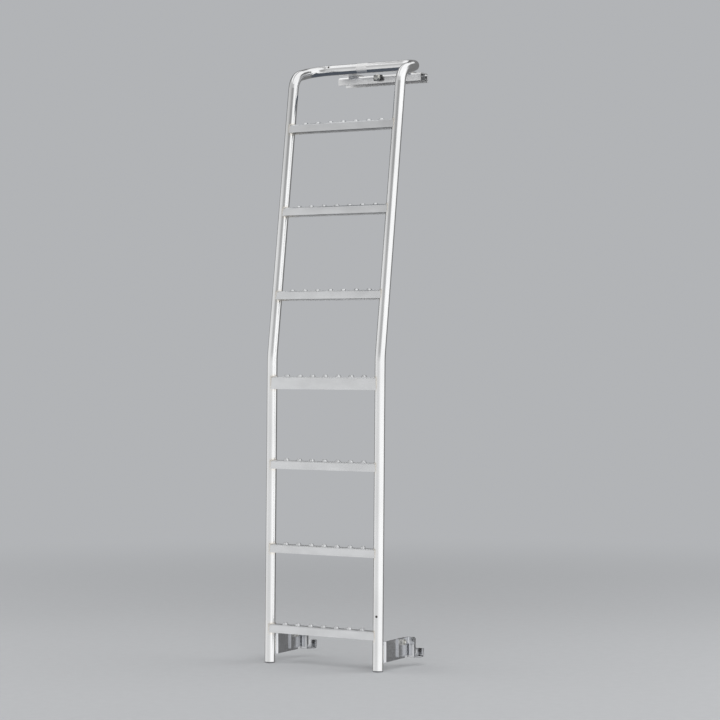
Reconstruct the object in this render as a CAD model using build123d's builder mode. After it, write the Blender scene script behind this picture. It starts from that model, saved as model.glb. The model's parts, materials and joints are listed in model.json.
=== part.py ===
"""Rear door ladder: two bent tube rails, seven folded rungs, a top hook and two lower brackets.

Frame: +X to the right, +Y towards the door, +Z up, in mm.
The origin is the middle of the face with which the top hook rests on the door's upper edge.
"""
import os
from math import cos, radians, sin, tan

from build123d import *

# Rails, each with half of the hoop that joins them at the top
tube_d = 25.0
tube_wall = 1.5
rail_spacing = 300.0
lower_lean = 0.9
upper_lean = 8.4
kink_height = 735.0
kink_radius = 150.0
bend_radius = 44.0
hoop_height = 1446.0
hoop_length = 99.0
hoop_tilt = 14.0
plug_thick = 3.0
plug_sides = 24

# Rungs, numbered from the top
rung_depth = 24.0
rung_face = 20.0
middle_rung_face = 30.0
rung_sheet = 2.0
rung_fold = 2.0
lowest_rung_height = 91.0
lowest_gap = 193.0
lower_pitch = 202.0
upper_pitch = 206.5
collar_count = 7
collar_sides = 8
collar_pitch = 35.7
collar_base = 12.5
collar_height = 5.0
collar_taper = 18.0
collar_hole = 6.5

# Top hook
hook_length = 234.0
hook_depth = 40.0
hook_sheet = 3.0
hook_fold = 3.0
hook_standoff = 60.0
rear_lip = 15.0
front_lip = 17.0
pad_margin = 5.0
pad_depth = 26.0
pad_thick = 2.0
tube_over_pad = 16.0
saddle_inset = 42.0
saddle_width = 30.0
saddle_thick = 5.0
saddle_seat = 32.0
clamp_width = 22.0
clamp_thick = 8.0
clamp_low = -9.0
clamp_high = 5.0

# Lower brackets, measured from the lower end of a rail's axis
plate = 4.0
plate_fold = 2.5
arm_low = 18.0
arm_high = 67.0
arm_rear = 10.0
arm_front = 104.0
arm_inner = -12.0
arm_web = 11.0
foot_low = 24.0
foot_rear = 66.0
foot_front = 120.0
foot_outer = 34.0
door_pad = 3.0
door_pad_low = 28.0
door_pad_high = 64.0
claw_low = 18.0
claw_high = 50.0
claw_reach = 26.0
claw_lip = 20.0
claw_width = 32.0

# Bolts
bolt_y = 86.0
bolt_z = 58.0
bolt_d = 8.0
bolt_head_d = 16.0
bolt_head_sides = 12
bolt_head_thick = 4.0
nut_size = 13.0
nut_sides = 6
nut_thick = 6.0
slot_length = 26.0

# Where the rails run, with the lower ends at y = 0 and z = 0
half = rail_spacing / 2
radius = tube_d / 2
kink_y = kink_height * tan(radians(lower_lean))
corner_z = hoop_height - hoop_length * sin(radians(hoop_tilt))
corner_y = kink_y + (corner_z - kink_height) * tan(radians(upper_lean))
cross_y = corner_y + hoop_length * cos(radians(hoop_tilt))

# Where those ends and the cross tube lie in the part's frame
tube_y = -hook_standoff - hook_depth / 2
base_y = tube_y - cross_y
base_z = tube_over_pad - hoop_height
web_top = pad_thick + hook_sheet
saddle_x = hook_length / 2 - saddle_inset
leg = arm_web + plate
flat = leg + plate + plate_fold


def rounded_path(points, radii):
    """Draw straight runs through the points, with an arc at each inner one."""
    start = points[0]
    for here, ahead, bend in zip(points[1:-1], points[2:], radii):
        arrive = (here - start).normalized()
        leave = (ahead - here).normalized()
        turn = radians(arrive.get_angle(leave))
        cut = bend * tan(turn / 2)
        inward = (leave - arrive).normalized()
        middle = here + inward * (bend / cos(turn / 2) - bend)
        Line(start, here - arrive * cut)
        ThreePointArc(here - arrive * cut, middle, here + leave * cut)
        start = here + leave * cut
    Line(start, points[-1])


def folded_sheet(points, fold, sheet):
    """Section of a sheet whose middle line follows the points, with a bevel at each fold."""
    with BuildLine() as middle:
        Polyline(*points)
        chamfer(middle.vertices(), fold)
    trace(middle.line, line_width=sheet)


def tread_plane(along):
    """Plane across the rails at a distance along them from their lower ends."""
    low = Vector(0, base_y, base_z)
    kink = low + Vector(0, kink_y, kink_height)
    corner = low + Vector(0, corner_y, corner_z)
    lower_run = (kink - low).length
    if along < lower_run:
        up = (kink - low).normalized()
        spot = low + up * along
    else:
        up = (corner - kink).normalized()
        spot = kink + up * (along - lower_run)
    return Plane(origin=spot, x_dir=(1, 0, 0), z_dir=up)


def make_rail(side):
    """One rail with its half of the hoop; side is -1 for left and 1 for right."""
    end = Vector(side * half, base_y, base_z)
    points = [
        end,
        end + Vector(0, kink_y, kink_height),
        end + Vector(0, corner_y, corner_z),
        end + Vector(0, cross_y, hoop_height),
        Vector(0, tube_y, tube_over_pad),
    ]
    with BuildPart() as rail:
        with BuildLine() as path:
            rounded_path(points, [kink_radius, bend_radius, bend_radius])
        with BuildSketch(Plane(origin=path.line @ 0, z_dir=path.line % 0)):
            Circle(radius)
            Circle(radius - tube_wall, mode=Mode.SUBTRACT)
        sweep()
    return rail


def make_plug(side):
    """Cap that closes the lower end of a rail."""
    with BuildPart() as plug:
        with BuildSketch(tread_plane(0)):
            with Locations((side * half, 0)):
                RegularPolygon(radius, plug_sides)
        extrude(amount=-plug_thick)
    return plug


def make_rung(along, face):
    """Folded rung with a row of raised open collars, coped to fit both rails."""
    tread = tread_plane(along)
    side = (rung_depth - rung_sheet) / 2
    top = -rung_sheet / 2
    with BuildPart() as rung:
        with BuildSketch(Plane(origin=tread.origin, x_dir=tread.y_dir, z_dir=(1, 0, 0))):
            folded_sheet([(-side, -face), (-side, top), (side, top), (side, -face)], rung_fold, rung_sheet)
        extrude(amount=half, both=True)
        with BuildSketch(tread):
            with GridLocations(collar_pitch, 1, collar_count, 1):
                RegularPolygon(collar_base / 2, collar_sides)
        extrude(amount=collar_height, taper=collar_taper)
        with BuildSketch(tread.offset(collar_height)):
            with GridLocations(collar_pitch, 1, collar_count, 1):
                RegularPolygon(collar_hole / 2, collar_sides)
        extrude(amount=-collar_height - rung_sheet, mode=Mode.SUBTRACT)
        with BuildSketch(tread):
            with Locations((-half, 0), (half, 0)):
                Circle(radius)
        extrude(amount=2 * face, both=True, mode=Mode.SUBTRACT)
    return rung


def make_saddle(side):
    """Flat bar on the top hook, coped to the underside of the cross tube."""
    with BuildPart() as saddle:
        with BuildSketch(Plane.XY.offset(web_top)):
            with Locations((side * saddle_x, tube_y)):
                Rectangle(saddle_width, hook_standoff + saddle_seat, align=(Align.CENTER, Align.MIN))
        extrude(amount=saddle_thick)
        with BuildSketch(Plane.YZ):
            with Locations((tube_y, tube_over_pad)):
                Circle(radius)
        extrude(amount=half, both=True, mode=Mode.SUBTRACT)
    return saddle


def make_arm(side):
    """Angle welded to the front of a rail, with its web reaching towards the door."""
    middle = arm_web + plate / 2
    back = arm_rear + plate / 2
    with BuildPart() as arm:
        with BuildSketch(Plane((side * half, base_y, base_z + arm_low))):
            folded_sheet([(arm_inner, back), (middle, back), (middle, arm_front)], plate_fold, plate)
        extrude(amount=arm_high - arm_low)
        with BuildSketch(tread_plane(0)):
            with Locations((side * half, 0)):
                Circle(radius)
        extrude(amount=2 * arm_high, mode=Mode.SUBTRACT)
        with BuildSketch(Plane.YZ.offset(side * half + arm_web)):
            with Locations((base_y + bolt_y, base_z + bolt_z)):
                Rectangle(bolt_d, bolt_d)
        extrude(amount=plate, mode=Mode.SUBTRACT)
    return arm


def make_foot(side):
    """Adjustable angle: a slotted leg on the arm's web and a flange behind the door pad."""
    middle = leg + plate / 2
    front = foot_front - plate / 2
    with BuildPart() as foot:
        with BuildSketch(Plane((side * half, base_y, base_z + foot_low))):
            folded_sheet([(middle, foot_rear), (middle, front), (foot_outer, front)], plate_fold, plate)
        extrude(amount=arm_high - foot_low)
        with BuildSketch(Plane.YZ.offset(side * half + leg)):
            with Locations((base_y + bolt_y, base_z + bolt_z)):
                Rectangle(slot_length, bolt_d)
        extrude(amount=plate, mode=Mode.SUBTRACT)
    return foot


def make_door_pad(side):
    """Rubber pad between the flat of a foot's flange and the door."""
    with BuildPart() as pad:
        with BuildSketch(Plane.YZ.offset(side * half + flat)):
            with Locations((base_y + foot_front, base_z + door_pad_low)):
                Rectangle(door_pad, door_pad_high - door_pad_low, align=(Align.MIN, Align.MIN))
        extrude(amount=foot_outer - flat)
    return pad


def make_claw(side):
    """Strip on the back of a foot's flange, with a wide lip that hooks under the door's lower edge."""
    rear = foot_front - 3 * plate / 2
    front = foot_front + claw_reach - plate / 2
    under = claw_low + plate / 2
    lip = claw_low + claw_lip
    center = side * half + (flat + foot_outer) / 2
    section = Plane((center, base_y, base_z), x_dir=(0, 1, 0), z_dir=(1, 0, 0))
    with BuildPart() as claw:
        with BuildSketch(section):
            folded_sheet([(rear, claw_high), (rear, under), (front, under)], plate_fold, plate)
        extrude(amount=(foot_outer - flat) / 2, both=True)
        with BuildSketch(section):
            folded_sheet([(foot_front, under), (front, under), (front, lip)], plate_fold, plate)
        extrude(amount=claw_width / 2, both=True)
    return claw


def make_bolt(side):
    """Round-headed bolt with a square neck, and its nut, that clamp a foot's leg to the arm's web."""
    spot = (base_y + bolt_y, base_z + bolt_z)
    inside = Plane.YZ.offset(side * half + arm_web)
    with BuildPart() as bolt:
        with BuildSketch(inside):
            with Locations(spot):
                RegularPolygon(bolt_head_d / 2, bolt_head_sides)
        extrude(amount=-bolt_head_thick)
        with BuildSketch(inside):
            with Locations(spot):
                Rectangle(bolt_d, bolt_d)
        extrude(amount=2 * plate)
        with BuildSketch(inside.offset(2 * plate)):
            with Locations(spot):
                RegularPolygon(nut_size / 2, nut_sides, major_radius=False)
        extrude(amount=nut_thick)
    return bolt


left_rail = make_rail(-1)
right_rail = make_rail(1)
left_plug = make_plug(-1)
right_plug = make_plug(1)

second_rung_height = lowest_rung_height + lowest_gap
middle_rung_height = second_rung_height + 2 * lower_pitch
rung_7 = make_rung(lowest_rung_height, rung_face)
rung_6 = make_rung(second_rung_height, rung_face)
rung_5 = make_rung(second_rung_height + lower_pitch, rung_face)
rung_4 = make_rung(middle_rung_height, middle_rung_face)
rung_3 = make_rung(middle_rung_height + upper_pitch, rung_face)
rung_2 = make_rung(middle_rung_height + 2 * upper_pitch, rung_face)
rung_1 = make_rung(middle_rung_height + 3 * upper_pitch, rung_face)

with BuildPart() as door_hook:
    lip = (hook_depth - hook_sheet) / 2
    web = pad_thick + hook_sheet / 2
    with BuildSketch(Plane.YZ):
        folded_sheet([(-lip, -rear_lip), (-lip, web), (lip, web), (lip, -front_lip)], hook_fold, hook_sheet)
    extrude(amount=hook_length / 2, both=True)

with BuildPart() as hook_pad:
    with BuildSketch():
        Rectangle(hook_length - 2 * pad_margin, pad_depth)
    extrude(amount=pad_thick)

with BuildPart() as hook_clamp:
    lip_face = Plane((0, -hook_depth / 2, (clamp_low + clamp_high) / 2), x_dir=(1, 0, 0), z_dir=(0, -1, 0))
    with BuildSketch(lip_face):
        Rectangle(clamp_width, clamp_high - clamp_low)
    extrude(amount=clamp_thick)
    with BuildSketch(lip_face.offset(clamp_thick)):
        RegularPolygon(nut_size / 2, nut_sides, major_radius=False)
    extrude(amount=nut_thick)

left_saddle = make_saddle(-1)
right_saddle = make_saddle(1)
left_arm = make_arm(-1)
right_arm = make_arm(1)
left_foot = make_foot(-1)
right_foot = make_foot(1)
left_door_pad = make_door_pad(-1)
right_door_pad = make_door_pad(1)
left_claw = make_claw(-1)
right_claw = make_claw(1)
left_bolt = make_bolt(-1)
right_bolt = make_bolt(1)

pieces = {
    "left_rail": left_rail,
    "right_rail": right_rail,
    "left_plug": left_plug,
    "right_plug": right_plug,
    "rung_1": rung_1,
    "rung_2": rung_2,
    "rung_3": rung_3,
    "rung_4": rung_4,
    "rung_5": rung_5,
    "rung_6": rung_6,
    "rung_7": rung_7,
    "door_hook": door_hook,
    "hook_pad": hook_pad,
    "hook_clamp": hook_clamp,
    "left_saddle": left_saddle,
    "right_saddle": right_saddle,
    "left_arm": left_arm,
    "right_arm": right_arm,
    "left_foot": left_foot,
    "right_foot": right_foot,
    "left_door_pad": left_door_pad,
    "right_door_pad": right_door_pad,
    "left_claw": left_claw,
    "right_claw": right_claw,
    "left_bolt": left_bolt,
    "right_bolt": right_bolt,
}

os.makedirs("parts", exist_ok=True)
for name, piece in pieces.items():
    piece.part.label = name
    export_step(piece.part, f"parts/{name}.step")
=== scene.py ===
import json
import math

import bmesh
import bpy
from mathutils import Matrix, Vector


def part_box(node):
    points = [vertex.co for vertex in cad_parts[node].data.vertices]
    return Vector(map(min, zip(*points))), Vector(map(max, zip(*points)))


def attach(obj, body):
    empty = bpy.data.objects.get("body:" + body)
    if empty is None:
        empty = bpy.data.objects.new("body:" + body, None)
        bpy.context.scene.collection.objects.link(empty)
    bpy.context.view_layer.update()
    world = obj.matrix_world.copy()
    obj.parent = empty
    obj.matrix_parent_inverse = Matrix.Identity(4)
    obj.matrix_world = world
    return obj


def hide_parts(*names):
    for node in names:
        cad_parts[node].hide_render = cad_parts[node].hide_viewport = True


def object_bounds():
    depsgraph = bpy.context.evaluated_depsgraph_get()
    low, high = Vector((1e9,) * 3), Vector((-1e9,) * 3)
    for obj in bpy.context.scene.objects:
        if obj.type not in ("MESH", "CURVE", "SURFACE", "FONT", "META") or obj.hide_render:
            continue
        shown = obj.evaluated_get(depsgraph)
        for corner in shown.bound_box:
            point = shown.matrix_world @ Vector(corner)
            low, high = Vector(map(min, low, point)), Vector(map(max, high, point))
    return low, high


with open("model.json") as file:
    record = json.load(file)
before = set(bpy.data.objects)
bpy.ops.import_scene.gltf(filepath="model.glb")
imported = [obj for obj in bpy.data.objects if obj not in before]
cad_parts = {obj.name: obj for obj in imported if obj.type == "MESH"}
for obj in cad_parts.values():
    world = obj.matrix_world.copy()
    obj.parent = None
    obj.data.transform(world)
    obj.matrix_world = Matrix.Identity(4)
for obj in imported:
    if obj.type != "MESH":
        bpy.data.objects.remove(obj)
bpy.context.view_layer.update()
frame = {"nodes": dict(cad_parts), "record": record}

scene = bpy.context.scene

# Sizes of the ladder that the pieces below follow, in metres and radians
SIDE_WORDS = ("left", "right")
TUBE_RADIUS = 0.0125
LOWER_LEAN = math.radians(0.9)
UPPER_LEAN = math.radians(8.4)
RUNG_NAMES = tuple(f"rung_{n}" for n in range(1, 8))
UPPER_RUNGS = RUNG_NAMES[:3]
MIDDLE_RUNG = RUNG_NAMES[3]
RUNG_HALF_DEPTH = 0.012
RUNG_FACE = 0.020
MIDDLE_RUNG_FACE = 0.030
COLLAR_COUNT = 7
COLLAR_PITCH = 0.0357
PLATE = 0.004
CROSS_TUBE_Y = -0.080
CROSS_TUBE_Z = 0.016
SADDLE_TOP = 0.010
HOOK_REAR = -0.020
rail_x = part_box("right_rail")[1].x - TUBE_RADIUS


def box_middle(node):
    """Middle of a CAD node's box."""
    low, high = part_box(node)
    return (low + high) / 2


def rung_frame(name):
    """Middle of a rung's tread, its directions across and up, and the depth of its face."""
    lean = UPPER_LEAN if name in UPPER_RUNGS else LOWER_LEAN
    face = MIDDLE_RUNG_FACE if name == MIDDLE_RUNG else RUNG_FACE
    across = Vector((0, math.cos(lean), -math.sin(lean)))
    up = Vector((0, math.sin(lean), math.cos(lean)))
    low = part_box(name)[0]
    y = low.y + RUNG_HALF_DEPTH * math.cos(lean) + face * math.sin(lean)
    z = low.z + RUNG_HALF_DEPTH * math.sin(lean) + face * math.cos(lean)
    return Vector((0, y, z)), across, up, face


def add_object(name, bm, material):
    """Turn a bmesh into an object of the scene."""
    mesh = bpy.data.meshes.new(name)
    bm.to_mesh(mesh)
    bm.free()
    mesh.materials.append(material)
    obj = bpy.data.objects.new(name, mesh)
    scene.collection.objects.link(obj)
    return obj


def add_piece(name, bm, material, smooth=True):
    """Turn a bmesh into a named piece that rides on the ladder."""
    bmesh.ops.recalc_face_normals(bm, faces=bm.faces)
    piece = add_object(name, bm, material)
    if smooth:
        polygons = piece.data.polygons
        polygons.foreach_set("use_smooth", [True] * len(polygons))
    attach(piece, "root")
    return piece


def round_ring(bm, center, first, second, radius, sides):
    """Ring of vertices round a point, in the plane of two directions."""
    ring = []
    for i in range(sides):
        a = 2 * math.pi * i / sides
        ring.append(bm.verts.new(center + (first * math.cos(a) + second * math.sin(a)) * radius))
    return ring


def bridge(bm, low, high):
    """Band of faces between two rings; with a single vertex for a ring, it is a fan."""
    sides = max(len(low), len(high))
    for i in range(sides):
        j = (i + 1) % sides
        if len(low) == 1:
            bm.faces.new((low[0], high[j], high[i]))
        elif len(high) == 1:
            bm.faces.new((low[i], low[j], high[0]))
        else:
            bm.faces.new((low[i], low[j], high[j], high[i]))


def closed_skin(bm, rings):
    """Bands of faces from ring to ring, with a face over each end."""
    for low, high in zip(rings, rings[1:]):
        bridge(bm, low, high)
    bm.faces.new(list(reversed(rings[0])))
    bm.faces.new(rings[-1])


def lathe(bm, origin, axis, profile, sides, loop=False):
    """Turn (radius, height) pairs round an axis.

    A zero radius closes an end, and loop joins the last pair to the first.
    """
    axis = axis.normalized()
    first = axis.orthogonal().normalized()
    second = axis.cross(first)
    rings = []
    for radius, height in profile:
        center = origin + axis * height
        if radius == 0:
            rings.append([bm.verts.new(center)])
        else:
            rings.append(round_ring(bm, center, first, second, radius, sides))
    following = rings[1:] + rings[:1] if loop else rings[1:]
    for low, high in zip(rings, following):
        bridge(bm, low, high)


def turned_piece(name, origin, axis, profile, sides, material, smooth=True):
    """Piece turned round an axis."""
    bm = bmesh.new()
    lathe(bm, origin, axis, profile, sides)
    return add_piece(name, bm, material, smooth)


# Materials. Most of a noise lies between these two values
NOISE_LOW = 0.3
NOISE_HIGH = 0.7

# Steel: polishing lines and broad clouds, and their shares in the roughness
LINE_DETAIL = 3.0
LINE_SHARE = 0.6
LINE_DEPTH = 0.0004
CLOUD_DETAIL = 2.0
CLOUD_SHARE = 0.4
CLOUD_LOW = 0.35
CLOUD_HIGH = 0.65
CLOUD_DARK = 0.90

# Plastic, rubber and plating: an even grain
GRAIN_DETAIL = 5.0
GRAIN_DARK = 0.72
GRAIN_DEPTH = 0.0006
ROUGH_SPREAD = 0.08

# Heat tint on the tube beside the rungs' welds: how it fades along the tube and across it, and its patches
TINT = (0.76, 0.66, 0.50)
TINT_SHARE = 0.45
TINT_ALONG = (-0.002, 0.009)
TINT_ACROSS = (-0.010, 0.003)
PATCH_SCALE = (90, 90, 90)
PATCH_DETAIL = 2.0
PATCH_HIGH = 0.6
PATCH_LEAST = 0.45

# Ground joint of the two rails in the hoop
JOINT_X = -0.010
JOINT_HALF = 0.0155
JOINT_FADE = (-0.002, 0.001)
JOINT_TONE = (0.92, 0.92, 0.92)
JOINT_ROUGH = 0.55


def empty_material(name):
    """Material with only an output node; returns the material, its tree and the surface socket."""
    material = bpy.data.materials.new(name)
    material.use_nodes = True
    tree = material.node_tree
    tree.nodes.clear()
    output = tree.nodes.new("ShaderNodeOutputMaterial")
    return material, tree, output.inputs["Surface"]


def start_material(name):
    """Material with a Principled shader; returns the material, its tree and the shader."""
    material, tree, surface = empty_material(name)
    shader = tree.nodes.new("ShaderNodeBsdfPrincipled")
    tree.links.new(shader.outputs["BSDF"], surface)
    return material, tree, shader


def feed(tree, value, socket):
    """Give a socket a number, a colour or what another socket gives."""
    if isinstance(value, (int, float)):
        socket.default_value = value
    elif isinstance(value, tuple):
        socket.default_value = (*value, 1.0)
    else:
        tree.links.new(value, socket)


def object_place(tree):
    """The object's own coordinates, as a vector socket."""
    return tree.nodes.new("ShaderNodeTexCoord").outputs["Object"]


def object_xyz(tree):
    """The object's own coordinates, as three sockets."""
    split = tree.nodes.new("ShaderNodeSeparateXYZ")
    tree.links.new(object_place(tree), split.inputs["Vector"])
    return split.outputs["X"], split.outputs["Y"], split.outputs["Z"]


def stretched_noise(tree, scale, detail):
    """Noise over the object's own coordinates, with a scale for each axis."""
    mapping = tree.nodes.new("ShaderNodeMapping")
    mapping.inputs["Scale"].default_value = scale
    noise = tree.nodes.new("ShaderNodeTexNoise")
    noise.inputs["Scale"].default_value = 1.0
    noise.inputs["Detail"].default_value = detail
    tree.links.new(object_place(tree), mapping.inputs["Vector"])
    tree.links.new(mapping.outputs["Vector"], noise.inputs["Vector"])
    return noise.outputs["Fac"]


def ramp(tree, factor, stops):
    """Colour ramp over a factor, from (position, colour) stops."""
    node = tree.nodes.new("ShaderNodeValToRGB")
    elements = node.color_ramp.elements
    while len(elements) < len(stops):
        elements.new(0.5)
    for element, (position, color) in zip(elements, stops):
        element.position = position
        element.color = (*color, 1.0)
    tree.links.new(factor, node.inputs["Fac"])
    return node.outputs["Color"]


def remap(tree, value, low, high, to_low, to_high):
    """Map a range of values smoothly to another."""
    node = tree.nodes.new("ShaderNodeMapRange")
    node.interpolation_type = "SMOOTHSTEP"
    for socket, number in zip(node.inputs[1:5], (low, high, to_low, to_high)):
        socket.default_value = number
    tree.links.new(value, node.inputs["Value"])
    return node.outputs["Result"]


def math_node(tree, operation, a, b):
    """Math node on sockets or numbers."""
    node = tree.nodes.new("ShaderNodeMath")
    node.operation = operation
    for socket, value in zip(node.inputs, (a, b)):
        feed(tree, value, socket)
    return node.outputs["Value"]


def apart(tree, value, number):
    """How far a value is from a number, on either side of it."""
    return math_node(tree, "ABSOLUTE", math_node(tree, "SUBTRACT", value, number), 0.0)


def mix_color(tree, factor, a, b):
    """Blend two colours by a factor socket; each may be a socket or a colour."""
    node = tree.nodes.new("ShaderNodeMix")
    node.data_type = "RGBA"
    for name, value in (("Factor", factor), ("A", a), ("B", b)):
        feed(tree, value, node.inputs[name])
    return node.outputs["Result"]


def mix_shader(tree, factor, a, b):
    """Blend two shaders by a factor socket."""
    node = tree.nodes.new("ShaderNodeMixShader")
    for socket, value in zip(node.inputs, (factor, a, b)):
        tree.links.new(value, socket)
    return node.outputs["Shader"]


def emission(tree, color):
    """Glow of a colour or of a colour socket."""
    node = tree.nodes.new("ShaderNodeEmission")
    feed(tree, color, node.inputs["Color"])
    return node.outputs["Emission"]


def add_bump(tree, shader, height, strength, distance):
    """Bump from a height socket."""
    bump = tree.nodes.new("ShaderNodeBump")
    bump.inputs["Strength"].default_value = strength
    bump.inputs["Distance"].default_value = distance
    tree.links.new(height, bump.inputs["Height"])
    tree.links.new(bump.outputs["Normal"], shader.inputs["Normal"])


def darker(color, share):
    """A colour with each channel scaled."""
    return tuple(share * channel for channel in color)


def start_steel(name, color, rough, grain, cloud, bump):
    """Stainless steel with fine polishing lines and a slow, cloudy change of tone.

    Returns the material, its tree, the shader, and the sockets of its tone and its roughness.
    """
    material, tree, shader = start_material(name)
    shader.inputs["Metallic"].default_value = 1.0
    lines = stretched_noise(tree, grain, LINE_DETAIL)
    clouds = stretched_noise(tree, cloud, CLOUD_DETAIL)
    tone = ramp(tree, clouds, [(CLOUD_LOW, darker(color, CLOUD_DARK)), (CLOUD_HIGH, color)])
    fine = math_node(tree, "MULTIPLY", lines, LINE_SHARE)
    broad = math_node(tree, "MULTIPLY", clouds, CLOUD_SHARE)
    both = math_node(tree, "ADD", fine, broad)
    roughness = remap(tree, both, NOISE_LOW, NOISE_HIGH, *rough)
    tree.links.new(tone, shader.inputs["Base Color"])
    tree.links.new(roughness, shader.inputs["Roughness"])
    add_bump(tree, shader, lines, bump, LINE_DEPTH)
    return material, tree, shader, tone, roughness


def steel(name, **recipe):
    """The material alone of start_steel."""
    return start_steel(name, **recipe)[0]


def tube_material():
    """Polished tube with straw-coloured heat tint beside the rungs' welds and a ground joint in the hoop."""
    material, tree, shader, tone, roughness = start_steel(
        "polished_tube",
        color=(0.815, 0.82, 0.825),
        rough=(0.10, 0.22),
        grain=(300, 300, 9),
        cloud=(14, 14, 5),
        bump=0.04,
    )
    x, _, z = object_xyz(tree)
    near = None
    for name in RUNG_NAMES:
        middle, _, _, face = rung_frame(name)
        full, none = (face / 2 + edge for edge in TINT_ALONG)
        spot = remap(tree, apart(tree, z, middle.z - face / 2), full, none, 1.0, 0.0)
        near = spot if near is None else math_node(tree, "MAXIMUM", near, spot)
    full, none = (rail_x + edge for edge in TINT_ACROSS)
    inward = remap(tree, math_node(tree, "ABSOLUTE", x, 0.0), full, none, 1.0, 0.0)
    specks = stretched_noise(tree, PATCH_SCALE, PATCH_DETAIL)
    patches = remap(tree, specks, NOISE_LOW, PATCH_HIGH, PATCH_LEAST, 1.0)
    tint = math_node(tree, "MULTIPLY", math_node(tree, "MULTIPLY", near, inward), patches)
    tinted = mix_color(tree, math_node(tree, "MULTIPLY", tint, TINT_SHARE), tone, TINT)
    full, none = (JOINT_HALF + edge for edge in JOINT_FADE)
    joint = remap(tree, apart(tree, x, JOINT_X), full, none, 1.0, 0.0)
    tree.links.new(mix_color(tree, joint, tinted, JOINT_TONE), shader.inputs["Base Color"])
    ground = math_node(tree, "MULTIPLY", joint, JOINT_ROUGH)
    tree.links.new(math_node(tree, "MAXIMUM", roughness, ground), shader.inputs["Roughness"])
    return material


def fine_material(name, color, metallic, rough, scale, bump):
    """Plastic, rubber or plating with a fine even grain."""
    material, tree, shader = start_material(name)
    shader.inputs["Metallic"].default_value = metallic
    grain = stretched_noise(tree, (scale, scale, scale), GRAIN_DETAIL)
    tone = ramp(tree, grain, [(NOISE_LOW, darker(color, GRAIN_DARK)), (NOISE_HIGH, color)])
    roughness = remap(tree, grain, NOISE_LOW, NOISE_HIGH, rough - ROUGH_SPREAD, rough + ROUGH_SPREAD)
    tree.links.new(tone, shader.inputs["Base Color"])
    tree.links.new(roughness, shader.inputs["Roughness"])
    add_bump(tree, shader, grain, bump, GRAIN_DEPTH)
    return material


tube_steel = tube_material()
rung_steel = steel(
    "satin_rung",
    color=(0.735, 0.745, 0.757),
    rough=(0.28, 0.40),
    grain=(7, 420, 420),
    cloud=(16, 30, 30),
    bump=0.05,
)
plate_steel = steel(
    "polished_plate",
    color=(0.62, 0.63, 0.65),
    rough=(0.16, 0.26),
    grain=(260, 60, 260),
    cloud=(20, 20, 20),
    bump=0.02,
)
# Hook and saddles: the rungs' satin stainless, with its colour raised above theirs as a painted highlight
painted_bright_hook = steel(
    "satin_hook_painted_bright",
    color=(0.95, 0.952, 0.957),
    rough=(0.26, 0.34),
    grain=(6, 380, 380),
    cloud=(30, 40, 40),
    bump=0.01,
)
zinc = fine_material(
    "zinc_plating", (0.76, 0.76, 0.73), metallic=1.0, rough=0.30, scale=700, bump=0.05
)
rubber = fine_material(
    "black_rubber", (0.035, 0.035, 0.037), metallic=0.0, rough=0.72, scale=1500, bump=0.25
)
cap_plastic = fine_material(
    "grey_cap_plastic", (0.30, 0.30, 0.31), metallic=0.0, rough=0.45, scale=1200, bump=0.10
)
weld_steel = fine_material(
    "weld_bead", (0.78, 0.75, 0.70), metallic=1.0, rough=0.32, scale=500, bump=0.12
)
# Clamp block: its near-black colour is painted shade round the nut
clamp_painted_shade = fine_material(
    "clamp_painted_shade", (0.055, 0.055, 0.058), metallic=0.6, rough=0.48, scale=900, bump=0.10
)
vent_plastic = fine_material(
    "vent_plastic", (0.060, 0.054, 0.050), metallic=0.0, rough=0.50, scale=900, bump=0.10
)

by_slot = {
    "tube": tube_steel,
    "rungs": rung_steel,
    "brackets": plate_steel,
    "fasteners": zinc,
    "pads": rubber,
    "plugs": cap_plastic,
}
for subpart in frame["record"]["subparts"]:
    for place in frame["nodes"][subpart["node"]].material_slots:
        place.material = by_slot[subpart["material_slot"]]


# Plates and rungs with rounded folds and eased edges, in place of the sharp solids
SAME_POINT = 1e-6
SPECK = 2e-5
FLAT = math.radians(1)
FOLD = math.radians(30)
CORNER = math.radians(60)
FOLD_EASE = 0.0008
FOLD_SEGMENTS = 3
EDGE_EASE = 0.0004
EDGE_SEGMENTS = 2
LONG_EDGE = 0.1


def ease(bm, low, high, width, segments, shortest=0.0):
    """Bevel the edges longer than shortest whose faces meet at an angle from low to high."""
    edges = []
    for edge in bm.edges:
        if len(edge.link_faces) == 2 and edge.calc_length() > shortest:
            if low < edge.calc_face_angle() < high:
                edges.append(edge)
    bmesh.ops.bevel(
        bm, geom=edges, offset=width, segments=segments, profile=0.5, affect="EDGES", clamp_overlap=True
    )
    bmesh.ops.dissolve_degenerate(bm, dist=SPECK, edges=bm.edges[:])


def smooth_folds(piece):
    """Keep flats flat beside rounded edges, and split large faces into well-shaped triangles."""
    normals = piece.modifiers.new("normals", "WEIGHTED_NORMAL")
    normals.keep_sharp = True
    split = piece.modifiers.new("triangles", "TRIANGULATE")
    split.min_vertices = 5
    split.ngon_method = "BEAUTY"
    split.keep_custom_normals = True


def eased_copy(node, material, folds_only=False):
    """Copy of a CAD node with its folds rounded and its cut edges eased, which stands for the node.

    With folds_only, only the long folds are rounded.
    """
    bm = bmesh.new()
    bm.from_mesh(frame["nodes"][node].data)
    bm.transform(frame["nodes"][node].matrix_world)
    bmesh.ops.remove_doubles(bm, verts=bm.verts[:], dist=SAME_POINT)
    bmesh.ops.dissolve_limit(bm, angle_limit=FLAT, verts=bm.verts[:], edges=bm.edges[:])
    if folds_only:
        ease(bm, FOLD, CORNER, FOLD_EASE, FOLD_SEGMENTS, LONG_EDGE)
    else:
        ease(bm, FOLD, CORNER, FOLD_EASE, FOLD_SEGMENTS)
        ease(bm, CORNER, math.pi, EDGE_EASE, EDGE_SEGMENTS)
    piece = add_piece(f"{node}_eased", bm, material)
    smooth_folds(piece)
    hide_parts(node)


# The hook and saddles take the steel whose lighter colour is a painted highlight
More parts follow.
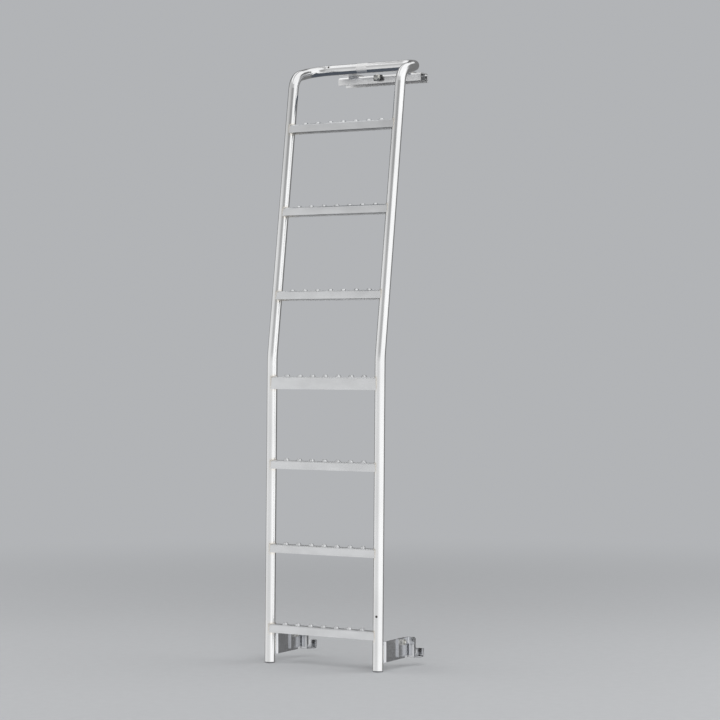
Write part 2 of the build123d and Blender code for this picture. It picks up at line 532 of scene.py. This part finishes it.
for node in ("door_hook", "left_saddle", "right_saddle"):
    eased_copy(node, painted_bright_hook)
for word in SIDE_WORDS:
    for part in ("arm", "foot"):
        eased_copy(f"{word}_{part}", plate_steel)
for node in RUNG_NAMES:
    eased_copy(node, rung_steel, folds_only=True)


# Claws: a narrow strip that runs down behind each foot, and the wide lip on its end
CLAW_BEND = 0.0032
CLAW_STRIP = 0.0125
CLAW_JOINT = 0.008
CLAW_LIP = 0.020
FOLD_STEPS = 6


def folded_strip(bm, points, x_low, x_high):
    """Plate with one round fold, whose middle line follows three (y, z) points, between two x values."""
    first, corner, last = (Vector((0, *point)) for point in points)
    arrive = (corner - first).normalized()
    leave = (last - corner).normalized()
    pivot = corner + (leave - arrive) * CLAW_BEND
    stations = [(first, -leave)]
    for i in range(FOLD_STEPS + 1):
        a = math.pi / 2 * i / FOLD_STEPS
        outward = arrive * math.sin(a) - leave * math.cos(a)
        stations.append((pivot + outward * CLAW_BEND, outward))
    stations.append((last, arrive))
    rings = []
    for spot, outward in stations:
        ring = []
        for x, shift in ((x_low, 1), (x_high, 1), (x_high, -1), (x_low, -1)):
            ring.append(bm.verts.new(spot + Vector((x, 0, 0)) + outward * shift * PLATE / 2))
        rings.append(ring)
    closed_skin(bm, rings)


for word in SIDE_WORDS:
    low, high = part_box(f"{word}_claw")
    middle = (low.x + high.x) / 2
    under = low.z + PLATE / 2
    joint = low.y + CLAW_JOINT
    rear = low.y + PLATE / 2
    front = high.y - PLATE / 2
    bm = bmesh.new()
    strip = [(rear, high.z), (rear, under), (joint, under)]
    folded_strip(bm, strip, middle - CLAW_STRIP / 2, middle + CLAW_STRIP / 2)
    lip = [(joint, under), (front, under), (front, low.z + CLAW_LIP)]
    folded_strip(bm, lip, low.x, high.x)
    ease(bm, CORNER, math.pi, EDGE_EASE, EDGE_SEGMENTS)
    claw = add_piece(f"{word}_claw_strip", bm, plate_steel)
    smooth_folds(claw)
    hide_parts(f"{word}_claw")


# Pressed collars: a round flared skin over each raised collar of the rungs
COLLAR_PROFILE = [
    (0.0078, 0.00002),
    (0.0071, 0.00025),
    (0.0066, 0.0009),
    (0.0054, 0.0040),
    (0.0050, 0.0047),
    (0.0044, 0.0050),
    (0.0037, 0.0049),
    (0.0032, 0.0044),
    (0.0030, 0.0036),
    (0.0030, -0.0021),
]
COLLAR_SIDES = 28

for name in RUNG_NAMES:
    middle, _, up, _ = rung_frame(name)
    bm = bmesh.new()
    for i in range(COLLAR_COUNT):
        x = (i - (COLLAR_COUNT - 1) / 2) * COLLAR_PITCH
        lathe(bm, middle + Vector((x, 0, 0)), up, COLLAR_PROFILE, COLLAR_SIDES, loop=True)
    add_piece(f"{name}_collars", bm, rung_steel)


# Weld beads, laid as overlapping ripples along a line, thinner at both ends
BEAD_STEP = 0.00065
BEAD_SIDES = 8
BEAD_TIP = 0.3
BEAD_TAPER = 4
RIPPLE = 0.0026
RIPPLE_BASE = 0.84
RIPPLE_RISE = 0.24


def resample(points, step):
    """Points spaced evenly along a line through the given ones."""
    out = [points[0].copy()]
    left = step
    for a, b in zip(points, points[1:]):
        length = (b - a).length
        at = left
        while at <= length:
            out.append(a.lerp(b, at / length))
            at += step
        left = at - length
    return out


def bead(bm, points, radius):
    """Sweep a rippled round bead along points."""
    line = resample(points, BEAD_STEP)
    last = len(line) - 1
    rings = []
    for k, here in enumerate(line):
        ahead = line[min(k + 1, last)]
        behind = line[max(k - 1, 0)]
        along = (ahead - behind).normalized()
        side = along.orthogonal().normalized()
        other = along.cross(side)
        phase = (k * BEAD_STEP / RIPPLE) % 1.0
        ends = min(1.0, BEAD_TAPER * min(k, last - k) / len(line) + BEAD_TIP)
        ripple = RIPPLE_BASE + RIPPLE_RISE * math.sqrt(phase)
        rings.append(round_ring(bm, here, side, other, radius * ripple * ends, BEAD_SIDES))
    closed_skin(bm, rings)


RUNG_BEAD = 0.0017
ARC_POINTS = 13
FACE_START = 0.002
FACE_STOP = 0.001

for name in RUNG_NAMES:
    middle, across, up, face = rung_frame(name)
    start = up * FACE_START
    stop = up * (face - FACE_STOP)
    bm = bmesh.new()
    for side in (-1, 1):
        tread = []
        for i in range(ARC_POINTS):
            y = RUNG_HALF_DEPTH * (2 * i / (ARC_POINTS - 1) - 1)
            reach = math.sqrt(TUBE_RADIUS ** 2 - y ** 2)
            tread.append(middle + Vector((side * (rail_x - reach), 0, 0)) + across * y)
        rear = [tread[0] - stop, tread[0] - start]
        front = [tread[-1] - start, tread[-1] - stop]
        bead(bm, rear + tread + front, RUNG_BEAD)
    add_piece(f"{name}_welds", bm, weld_steel)

ARM_BEAD = 0.0021
ARM_WELD_X = TUBE_RADIUS - 0.0045
ARM_WELD_SINK = 0.0002
ARM_WELD_INSET = 0.003

for word in SIDE_WORDS:
    low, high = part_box(f"{word}_arm")
    axis_x = box_middle(f"{word}_plug").x
    y = low.y + ARM_WELD_SINK
    bm = bmesh.new()
    for side in (-1, 1):
        x = axis_x + side * ARM_WELD_X
        start = Vector((x, y, low.z + ARM_WELD_INSET))
        stop = Vector((x, y, high.z - ARM_WELD_INSET))
        bead(bm, [start, stop], ARM_BEAD)
    add_piece(f"{word}_arm_welds", bm, weld_steel)

SADDLE_WELD_INSET = 0.002
HOOK_WELD_START = HOOK_REAR + 0.006

for word in SIDE_WORDS:
    low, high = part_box(f"{word}_saddle")
    bm = bmesh.new()
    y = CROSS_TUBE_Y + math.sqrt(TUBE_RADIUS ** 2 - (CROSS_TUBE_Z - SADDLE_TOP) ** 2)
    start = Vector((low.x + SADDLE_WELD_INSET, y, SADDLE_TOP))
    stop = Vector((high.x - SADDLE_WELD_INSET, y, SADDLE_TOP))
    bead(bm, [start, stop], RUNG_BEAD)
    for x in (low.x, high.x):
        start = Vector((x, HOOK_WELD_START, low.z))
        stop = Vector((x, high.y - SADDLE_WELD_INSET, low.z))
        bead(bm, [start, stop], RUNG_BEAD)
    add_piece(f"{word}_saddle_welds", bm, weld_steel)


# Rounded caps in the rails' lower ends
CAP_PROFILE = [
    (0, 0.0),
    (0.0124, 0.0),
    (0.01249, 0.0003),
    (0.01249, 0.0016),
    (0.0121, 0.0025),
    (0.0112, 0.0030),
    (0.0060, 0.0030),
    (0.0056, 0.0026),
    (0, 0.0026),
]
CAP_HALF = 0.0015
CAP_SIDES = 48
rail_up = Vector((0, math.sin(LOWER_LEAN), math.cos(LOWER_LEAN)))

for word in SIDE_WORDS:
    top = box_middle(f"{word}_plug") + rail_up * CAP_HALF
    cap = turned_piece(f"{word}_end_cap", top, -rail_up, CAP_PROFILE, CAP_SIDES, cap_plastic)
    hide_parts(f"{word}_plug")


# Rubber pads with rounded edges
PAD_EDGE = 0.0006


def rounded_block(low, high, edge):
    """Block between two corners with rounded edges."""
    size = Vector(high) - Vector(low)
    center = (Vector(high) + Vector(low)) / 2
    bm = bmesh.new()
    bmesh.ops.create_cube(bm, size=1.0)
    for vertex in bm.verts:
        vertex.co = Vector((vertex.co.x * size.x, vertex.co.y * size.y, vertex.co.z * size.z)) + center
    bmesh.ops.bevel(bm, geom=bm.edges[:], offset=edge, segments=3, profile=0.6, affect="EDGES")
    return bm


for node in ("hook_pad", "left_door_pad", "right_door_pad"):
    low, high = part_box(node)
    pad = add_piece(f"{node}_rubber", rounded_block(low, high, PAD_EDGE), rubber)
    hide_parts(node)


# Threaded ends and domed heads of the bracket bolts
THREAD_RADIUS = 0.0039
THREAD_DEPTH = 0.0006
THREAD_PITCH = 0.00125
THREAD_TURNS = 3
THREAD_SIDES = 32
THREAD_SINK = 0.0002
TIP_BEVEL = 0.0008
TIP_CROWN = 0.0001

thread_length = THREAD_TURNS * THREAD_PITCH
thread_profile = [(0, 0)]
for i in range(THREAD_TURNS):
    thread_profile.append((THREAD_RADIUS - THREAD_DEPTH, i * THREAD_PITCH))
    thread_profile.append((THREAD_RADIUS, (i + 0.5) * THREAD_PITCH))
thread_profile += [(THREAD_RADIUS - TIP_BEVEL, thread_length), (0, thread_length + TIP_CROWN)]

rightward = Vector((1, 0, 0))

for word in SIDE_WORDS:
    start = box_middle(f"{word}_bolt")
    start.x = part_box(f"{word}_bolt")[1].x - THREAD_SINK
    turned_piece(f"{word}_bolt_thread", start, rightward, thread_profile, THREAD_SIDES, zinc)

DOME_PROFILE = [
    (0, 0.0),
    (0.0082, 0.0),
    (0.0083, 0.0004),
    (0.0083, 0.0030),
    (0.0081, 0.0041),
    (0.0074, 0.0047),
    (0.0050, 0.0053),
    (0.0025, 0.0056),
    (0, 0.0057),
]
ROUND_SIDES = 40

for word in SIDE_WORDS:
    seat = box_middle(f"{word}_bolt")
    seat.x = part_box(f"{word}_arm")[1].x - PLATE
    turned_piece(f"{word}_bolt_dome", seat, -rightward, DOME_PROFILE, ROUND_SIDES, zinc)


# The hook's clamp block with its washer and nut
CLAMP_THICK = 0.008
CLAMP_EDGE = 0.0012
WASHER_PROFILE = [
    (0, -0.0002),
    (0.0086, -0.0002),
    (0.0088, 0.0003),
    (0.0088, 0.0011),
    (0.0085, 0.0014),
    (0, 0.0014),
]
NUT_ACROSS = 0.013
NUT_SIDES = 6
NUT_START = 0.0012
NUT_END = 0.006
NUT_BEVEL = 0.0009
NUT_MOUTH = 0.0042
NUT_BORE = 0.0038
NUT_RECESS = 0.0006
nut_radius = NUT_ACROSS / math.sqrt(3)
nut_profile = [
    (0, NUT_START),
    (nut_radius, NUT_START),
    (nut_radius, NUT_END - NUT_BEVEL),
    (nut_radius - NUT_BEVEL, NUT_END),
    (NUT_MOUTH, NUT_END),
    (NUT_BORE, NUT_END - NUT_RECESS),
    (0, NUT_END - NUT_RECESS),
]

clamp_rear = HOOK_REAR - CLAMP_THICK
low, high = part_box("hook_clamp")
# The block's near-black colour is painted shade round the nut
bm = rounded_block((low.x, clamp_rear, low.z), (high.x, HOOK_REAR, high.z), CLAMP_EDGE)
block = add_piece("clamp_block", bm, clamp_painted_shade)
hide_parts("hook_clamp")

seat = Vector((0, clamp_rear, (low.z + high.z) / 2))
outward = Vector((0, -1, 0))
turned_piece("clamp_washer", seat, outward, WASHER_PROFILE, ROUND_SIDES, zinc)
turned_piece("clamp_nut", seat, outward, nut_profile, NUT_SIDES, zinc, smooth=False)


# Small dark plugs in the tube's vent holes
VENT_PROFILE = [
    (0, -0.0008),
    (0.0029, -0.0008),
    (0.0029, 0.0001),
    (0.0026, 0.0004),
    (0.0018, 0.0006),
    (0.0014, 0.0005),
    (0, 0.0005),
]
VENT_SIDES = 24
RAIL_VENT_HEIGHT = 0.127
RAIL_VENT_FACES = Vector((0.17, -0.98, 0))
HOOP_VENT_X = -0.104
HOOP_VENT_FACES = Vector((0, -0.80, 0.60))


def vent(name, axis_point, outward):
    """Vent plug where a line from a tube's axis leaves its skin."""
    outward = outward.normalized()
    skin = axis_point + outward * TUBE_RADIUS
    turned_piece(name, skin, outward, VENT_PROFILE, VENT_SIDES, vent_plastic)


rail_end = box_middle("right_plug")
rail_end.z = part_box("right_plug")[1].z
vent("rail_vent", rail_end + rail_up * RAIL_VENT_HEIGHT, RAIL_VENT_FACES)
vent("hoop_vent", Vector((HOOP_VENT_X, CROSS_TUBE_Y, CROSS_TUBE_Z)), HOOP_VENT_FACES)


# Floor, light and camera
scene.view_settings.view_transform = "Standard"
low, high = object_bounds()
center = (Vector(low) + Vector(high)) / 2
under_center = (center.x, center.y, low[2])

# Camera, measured from the middle of the rails' lower ends
CAMERA_AZIMUTH = math.radians(31.1)
CAMERA_DISTANCE = 5.19
CAMERA_HEIGHT = 0.76
SENSOR = 36.0
LENS = 109.0

# Backdrop, and the matte floor that fades into it
PALE = (0.445, 0.455, 0.47)
FLOOR_DARK = (0.465, 0.475, 0.49)
FLOOR_LIGHT = (0.48, 0.49, 0.505)
FLOOR_GRAIN = (40, 40, 40)
FLOOR_DETAIL = 3.0
FLOOR_ROUGH = 0.9
FLOOR_SIZE = 60.0
FADE_START = 1.2
FADE_END = 3.5
WORLD_LIGHT = 0.45


def pale_floor():
    """Matte floor near the ladder that fades into the plain backdrop further out."""
    material, tree, surface = empty_material("pale_floor")
    matte = tree.nodes.new("ShaderNodeBsdfPrincipled")
    matte.inputs["Roughness"].default_value = FLOOR_ROUGH
    grain = stretched_noise(tree, FLOOR_GRAIN, FLOOR_DETAIL)
    tone = ramp(tree, grain, [(NOISE_LOW, FLOOR_DARK), (NOISE_HIGH, FLOOR_LIGHT)])
    tree.links.new(tone, matte.inputs["Base Color"])
    distance = tree.nodes.new("ShaderNodeVectorMath")
    distance.operation = "LENGTH"
    tree.links.new(object_place(tree), distance.inputs[0])
    fade = remap(tree, distance.outputs["Value"], FADE_START, FADE_END, 0.0, 1.0)
    tree.links.new(mix_shader(tree, fade, matte.outputs["BSDF"], emission(tree, PALE)), surface)
    return material


bm = bmesh.new()
bmesh.ops.create_grid(bm, x_segments=1, y_segments=1, size=FLOOR_SIZE / 2)
floor = add_object("floor", bm, pale_floor())
floor.location = under_center
floor.visible_glossy = False


def background(tree, color, strength):
    """Even light of one colour from the world."""
    node = tree.nodes.new("ShaderNodeBackground")
    node.inputs["Color"].default_value = (*color, 1.0)
    node.inputs["Strength"].default_value = strength
    return node.outputs["Background"]


def studio_world():
    """World that lights the ladder evenly, and shows the backdrop to the camera and in reflections."""
    world = bpy.data.worlds.new("studio")
    world.use_nodes = True
    tree = world.node_tree
    tree.nodes.clear()
    output = tree.nodes.new("ShaderNodeOutputWorld")
    path = tree.nodes.new("ShaderNodeLightPath")
    seen = math_node(tree, "MAXIMUM", path.outputs["Is Camera Ray"], path.outputs["Is Glossy Ray"])
    seen = math_node(tree, "MAXIMUM", seen, path.outputs["Is Transmission Ray"])
    light = background(tree, (1.0, 1.0, 1.0), WORLD_LIGHT)
    shown = background(tree, PALE, 1.0)
    tree.links.new(mix_shader(tree, seen, light, shown), output.inputs["Surface"])
    return world


scene.world = studio_world()


def around(point, azimuth, distance, height):
    """Place at an azimuth round a point, with 0 on the climber's side, and at a height above it."""
    return point + Vector((math.sin(azimuth) * distance, -math.cos(azimuth) * distance, height))


def aim(obj):
    """Turn a lamp or camera to the ladder's middle."""
    obj.rotation_euler = (center - obj.location).to_track_quat("-Z", "Y").to_euler()


def softbox(name, azimuth, distance, height, width, tall, power):
    """Large soft lamp that faces the ladder."""
    lamp = bpy.data.lights.new(name, "AREA")
    lamp.shape = "RECTANGLE"
    lamp.size = width
    lamp.size_y = tall
    lamp.energy = power
    obj = bpy.data.objects.new(name, lamp)
    obj.location = around(center, math.radians(azimuth), distance, height)
    aim(obj)
    obj.visible_camera = False
    obj.visible_glossy = False
    scene.collection.objects.link(obj)


softbox("key_softbox", azimuth=118, distance=3.2, height=0.9, width=3.6, tall=3.0, power=70)
softbox("fill_softbox", azimuth=-68, distance=3.4, height=0.7, width=3.6, tall=3.0, power=55)
softbox("top_softbox", azimuth=20, distance=2.6, height=3.4, width=2.6, tall=2.6, power=60)


# Tent of pale and dark cards round the ladder, seen only in reflections
TENT_RADIUS = 1.35
TENT_HEIGHT = 2.6
TENT_DEPTH = 1.2
TENT_SIDES = 96
TENT_RIM = 0.01

# Brightness of the cards
WHITE_CARD = 1.15
LEFT_CARD = 0.82
LOW_CARD = 0.75
SIDE_CARD = 0.76
GREY_CARD = 0.46
ROOF_CARD = 0.55
DARK_CARD = 0.20
BOTTOM_CARD = 0.80

# Cards round the walls, as degrees from the camera's side and brightness
GREY_END = -4
WHITE_START = 16
LEFT_STOPS = [(-180, DARK_CARD), (-132, DARK_CARD), (-114, LEFT_CARD), (-84, LEFT_CARD)]
UPPER_STOPS = [(-62, SIDE_CARD), (-36, GREY_CARD), (GREY_END, GREY_CARD)]
LOWER_STOPS = [(-62, LOW_CARD), (-20, LOW_CARD)]
RIGHT_STOPS = [(WHITE_START, WHITE_CARD), (90, WHITE_CARD), (106, DARK_CARD), (180, DARK_CARD)]

# Heights over the floor between which the upper cards stand, and how the walls dim towards their top
BAND_LOW = 0.70
BAND_HIGH = 1.10
BAND_END = 1.98
BAND_FADE = 0.2
WALL_DIM = (1.12, 0.80)
WHITE_LEVEL = 1.06

# Dimmer strip of the roof, in x from the ladder's middle
ROOF_LOW = -0.66
ROOF_HIGH = -0.30
ROOF_SOFT = 0.05

# Dark card under the hoop, for the dark tone on its underside
SHADE_X = (-0.235, 0.125)
SHADE_Y = (-0.155, -0.030)
SHADE_Z = -0.050
SHADE_TONE = (0.09, 0.1035, 0.126)


def only_in_reflections(obj):
    """Make an object a stage piece that nothing but reflections can see."""
    for ray in ("camera", "diffuse", "transmission", "volume_scatter", "shadow"):
        setattr(obj, f"visible_{ray}", False)


def glow_material(name, color):
    """Even glow of one colour."""
    material, tree, surface = empty_material(name)
    tree.links.new(emission(tree, color), surface)
    return material


def turn(degrees):
    """Place of a bearing on a ramp that goes once round the tent."""
    return degrees / 360 + 0.5


def card_ramp(tree, bearing, stops):
    """Brightness round the tent, from (degrees from the camera's side, brightness) stops."""
    return ramp(tree, bearing, [(turn(degrees), (level,) * 3) for degrees, level in stops])


def tent_walls(tree, x, y, z):
    """Pale card on the left, white one on the right, grey one towards the camera and dark ones behind."""
    angle = math_node(tree, "ARCTAN2", x, math_node(tree, "MULTIPLY", y, -1.0))
    bearing = math_node(tree, "ADD", math_node(tree, "DIVIDE", angle, 2 * math.pi), 0.5)
    upper = card_ramp(tree, bearing, LEFT_STOPS + UPPER_STOPS + RIGHT_STOPS)
    lower = card_ramp(tree, bearing, LEFT_STOPS + LOWER_STOPS + RIGHT_STOPS)
    rise = remap(tree, z, BAND_LOW, BAND_HIGH, 0.0, 1.0)
    fall = remap(tree, z, BAND_END, BAND_END + BAND_FADE, 1.0, 0.0)
    walls = mix_color(tree, math_node(tree, "MULTIPLY", rise, fall), lower, upper)
    dim = remap(tree, z, BAND_HIGH, BAND_END, *WALL_DIM)
    white = remap(tree, bearing, turn(GREY_END), turn(WHITE_START), 0.0, 1.0)
    gain = math_node(tree, "MULTIPLY", white, math_node(tree, "SUBTRACT", WHITE_LEVEL, dim))
    scaled = tree.nodes.new("ShaderNodeVectorMath")
    scaled.operation = "SCALE"
    tree.links.new(walls, scaled.inputs[0])
    tree.links.new(math_node(tree, "ADD", dim, gain), scaled.inputs["Scale"])
    return scaled.outputs["Vector"]


def tent_roof(tree, x, y):
    """White roof with a dimmer strip on the ladder's left."""
    # The tent is turned to the camera, so the ladder's own x is a mix of the tent's x and y
    x_part = math_node(tree, "MULTIPLY", x, math.cos(CAMERA_AZIMUTH))
    y_part = math_node(tree, "MULTIPLY", y, math.sin(CAMERA_AZIMUTH))
    ladder_x = math_node(tree, "SUBTRACT", x_part, y_part)
    begins = remap(tree, ladder_x, ROOF_LOW - ROOF_SOFT, ROOF_LOW + ROOF_SOFT, 0.0, 1.0)
    ends = remap(tree, ladder_x, ROOF_HIGH - ROOF_SOFT, ROOF_HIGH + ROOF_SOFT, 1.0, 0.0)
    strip = math_node(tree, "MULTIPLY", begins, ends)
    return mix_color(tree, strip, (WHITE_CARD,) * 3, (ROOF_CARD,) * 3)


def tent_material():
    """Glow of the tent's walls, roof and bottom."""
    material, tree, surface = empty_material("light_tent")
    x, y, z = object_xyz(tree)
    roof = remap(tree, z, TENT_HEIGHT - 2 * TENT_RIM, TENT_HEIGHT - TENT_RIM, 0.0, 1.0)
    bottom = remap(tree, z, TENT_RIM - TENT_DEPTH, 2 * TENT_RIM - TENT_DEPTH, 1.0, 0.0)
    tone = mix_color(tree, roof, tent_walls(tree, x, y, z), tent_roof(tree, x, y))
    tone = mix_color(tree, bottom, tone, (BOTTOM_CARD,) * 3)
    tree.links.new(emission(tree, tone), surface)
    return material


bm = bmesh.new()
outline = [(0, -TENT_DEPTH), (TENT_RADIUS, -TENT_DEPTH), (TENT_RADIUS, TENT_HEIGHT), (0, TENT_HEIGHT)]
lathe(bm, Vector((0, 0, 0)), Vector((0, 0, 1)), outline, TENT_SIDES)
tent = add_object("light_tent", bm, tent_material())
tent.location = under_center
tent.rotation_euler = (0, 0, CAMERA_AZIMUTH)
only_in_reflections(tent)

bm = bmesh.new()
corners = [(SHADE_X[i], SHADE_Y[j], SHADE_Z) for i, j in ((0, 0), (1, 0), (1, 1), (0, 1))]
bm.faces.new([bm.verts.new(corner) for corner in corners])
shade = add_object("shade_card", bm, glow_material("shade_card", SHADE_TONE))
only_in_reflections(shade)

camera_data = bpy.data.cameras.new("camera")
camera_data.sensor_width = SENSOR
camera_data.lens = LENS
camera = bpy.data.objects.new("camera", camera_data)
rail_ends = (box_middle("left_plug") + box_middle("right_plug")) / 2
camera.location = around(rail_ends, CAMERA_AZIMUTH, CAMERA_DISTANCE, CAMERA_HEIGHT)
aim(camera)
scene.collection.objects.link(camera)
scene.camera = camera
